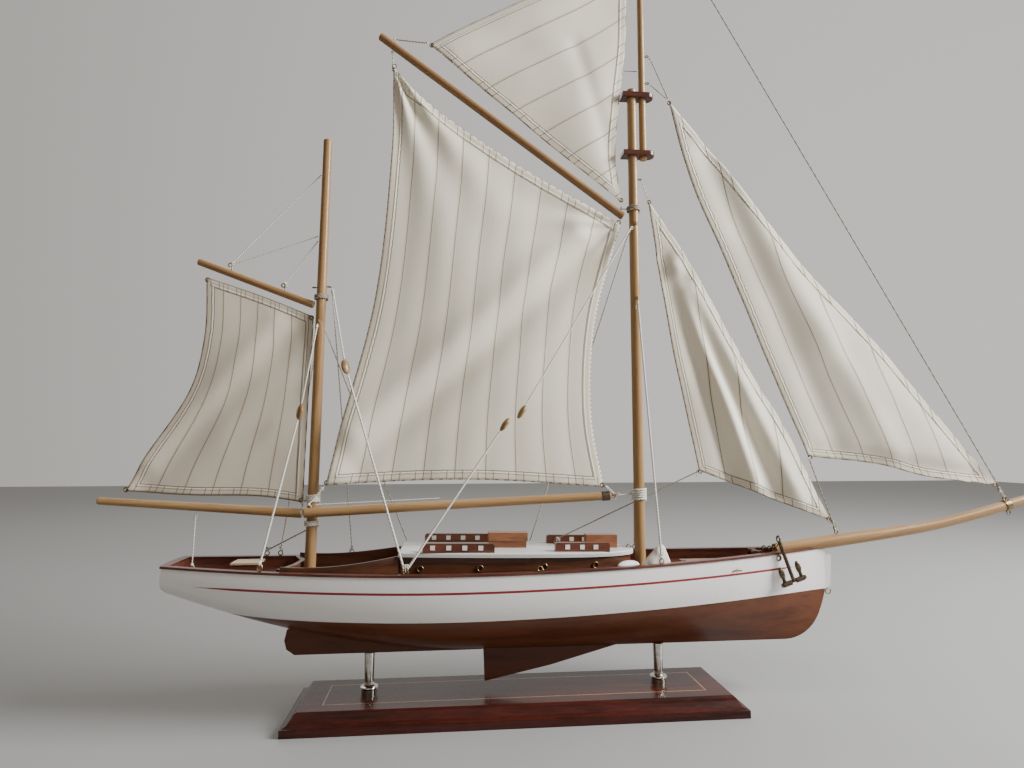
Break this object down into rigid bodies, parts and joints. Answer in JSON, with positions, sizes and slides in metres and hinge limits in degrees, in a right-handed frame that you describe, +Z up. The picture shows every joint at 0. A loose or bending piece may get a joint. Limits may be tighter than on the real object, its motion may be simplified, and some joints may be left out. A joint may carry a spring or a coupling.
{
  "type": "model sailing ship",
  "caption": "Gaff-rigged sailing ship model with cotton sails, turned masts, deck fittings and a hanging anchor, on a wooden stand with metal pedestals.",
  "frame": {"origin": "middle of the stand board's flat underside", "axes": "+X towards the bow, +Y to port, +Z up"},
  "size_m": [0.9048, 0.1218, 0.838],
  "materials": {
    "base_wood": "dark mahogany, glossy varnish",
    "inlay_wood": "pale wood line, varnished",
    "pedestal_nickel": "warm nickel plate, polished",
    "screw_steel": "zinc plated",
    "bottom_wood": "varnished mahogany, glossy",
    "hull_paint": "white paint, satin, with a thin crimson line under the rail",
    "stem_paint": "white paint, satin",
    "frame_ply": "bare plywood",
    "lining_wood": "stained mahogany, satin",
    "rail_wood": "stained mahogany, satin",
    "deck_wood": "stained mahogany, satin",
    "cabin_wood": "stained mahogany, satin",
    "roof_paint": "white paint, satin",
    "hatch_wood": "mahogany, satin",
    "pane_white": "white",
    "brass_trim": "aged brass",
    "lid_pale": "pale wood, bare",
    "windlass_wood": "stained wood",
    "canvas": "folded canvas",
    "fender_cord": "white cord wound hard",
    "plank_pale": "pale wood, bare",
    "cap_wood": "stained mahogany, satin",
    "spar_wood": "honey brown, satin varnish",
    "sail_cotton": "cream cotton, sewn in cloths",
    "cord_cotton": "twisted cotton cord",
    "block_wood": "brown varnished wood",
    "dark_bronze": "dark patinated bronze"
  },
  "bodies": {
    "ship": {"base_board": "base_wood", "base_inlay": "inlay_wood", "pedestal_aft": "pedestal_nickel", "pedestal_fore": "pedestal_nickel", "stand_screws": "screw_steel", "hull_bottom": "bottom_wood", "skeg": "bottom_wood", "centreboard": "bottom_wood", "hull_topsides": "hull_paint", "stem_post": "stem_paint", "hull_frames": "frame_ply", "bulwark_lining": "lining_wood", "cap_rail": "rail_wood", "deck": "deck_wood", "cabin_sides": "cabin_wood", "cockpit_coamings": "cabin_wood", "skylights_aft": "cabin_wood", "skylights_fore": "cabin_wood", "thwart": "cabin_wood", "cockpit_locker": "cabin_wood", "cabin_roof": "roof_paint", "companion_hatch": "hatch_wood", "fore_hatch": "hatch_wood", "window_panes": "pane_white", "deck_fittings": "brass_trim", "spar_eyes": "brass_trim", "portholes": "brass_trim", "bowsprit_band": "brass_trim", "locker_lid": "lid_pale", "windlass": "windlass_wood", "canvas_bundle": "canvas", "fender": "fender_cord", "deck_planks": "plank_pale", "lower_cap": "cap_wood", "upper_cap": "cap_wood", "main_mast": "spar_wood", "topmast": "spar_wood", "mizzen_mast": "spar_wood", "bowsprit": "spar_wood", "forestay": "cord_cotton", "main_rigging": "cord_cotton", "mizzen_rigging": "cord_cotton", "rigging_blocks": "block_wood", "anchor_chain": "dark_bronze"},
    "main_boom_set": {"main_boom": "spar_wood", "boom_ferrule": "brass_trim", "main_boom_rigging": "cord_cotton", "mainsail": "sail_cotton"},
    "main_gaff_set": {"main_gaff": "spar_wood", "main_gaff_rigging": "cord_cotton", "topsail": "sail_cotton"},
    "mizzen_boom_set": {"mizzen_boom": "spar_wood", "mizzen_boom_rigging": "cord_cotton", "mizzen_sail": "sail_cotton"},
    "mizzen_gaff_set": {"mizzen_gaff": "spar_wood", "mizzen_gaff_rigging": "cord_cotton"},
    "sail_jib": {"jib": "sail_cotton"},
    "sail_staysail": {"staysail": "sail_cotton"},
    "anchor_swing_body": {"anchor_shank": "dark_bronze"},
    "anchor_fluke_pair": {"anchor_flukes": "dark_bronze"}
  },
  "joints": [
    {"name": "main_boom_swing", "type": "hinge", "parent": "ship", "child": "main_boom_set", "pos_m": [0.118, 0, 0.19], "axis": [0, 0, 1], "range_deg": [0, 2.5]},
    {"name": "main_gaff_swing", "type": "hinge", "parent": "ship", "child": "main_gaff_set", "pos_m": [0.118, 0, 0.464], "axis": [0, 0, 1], "range_deg": [0, 2.5]},
    {"name": "mizzen_boom_swing", "type": "hinge", "parent": "ship", "child": "mizzen_boom_set", "pos_m": [-0.18718, 0, 0.1795], "axis": [0.0148, 0, 0.9999], "range_deg": [-10, 10]},
    {"name": "mizzen_gaff_swing", "type": "hinge", "parent": "ship", "child": "mizzen_gaff_set", "pos_m": [-0.18437, 0, 0.3695], "axis": [0.0148, 0, 0.9999], "range_deg": [-10, 10]},
    {"name": "jib_swing", "type": "hinge", "parent": "ship", "child": "sail_jib", "pos_m": [0.157, 0, 0.5875], "axis": [0.6494, 0, -0.7605], "range_deg": [-6, 6]},
    {"name": "staysail_swing", "type": "hinge", "parent": "ship", "child": "sail_staysail", "pos_m": [0.133, 0, 0.482], "axis": [0.4827, 0, -0.8758], "range_deg": [-8, 8]},
    {"name": "anchor_swing", "type": "hinge", "parent": "ship", "child": "anchor_swing_body", "pos_m": [0.24498, -0.0216, 0.14904], "axis": [1, 0, 0], "range_deg": [-20, 0]},
    {"name": "anchor_fluke_tilt", "type": "hinge", "parent": "anchor_swing_body", "child": "anchor_fluke_pair", "pos_m": [0.2586, -0.0216, 0.11], "axis": [0.9442, 0, 0.3294], "range_deg": [0, 40]}
  ],
  "couplings": [
    {"joint": "main_gaff_swing", "follows": "main_boom_swing", "ratio": 1},
    {"joint": "mizzen_gaff_swing", "follows": "mizzen_boom_swing", "ratio": 1}
  ]
}
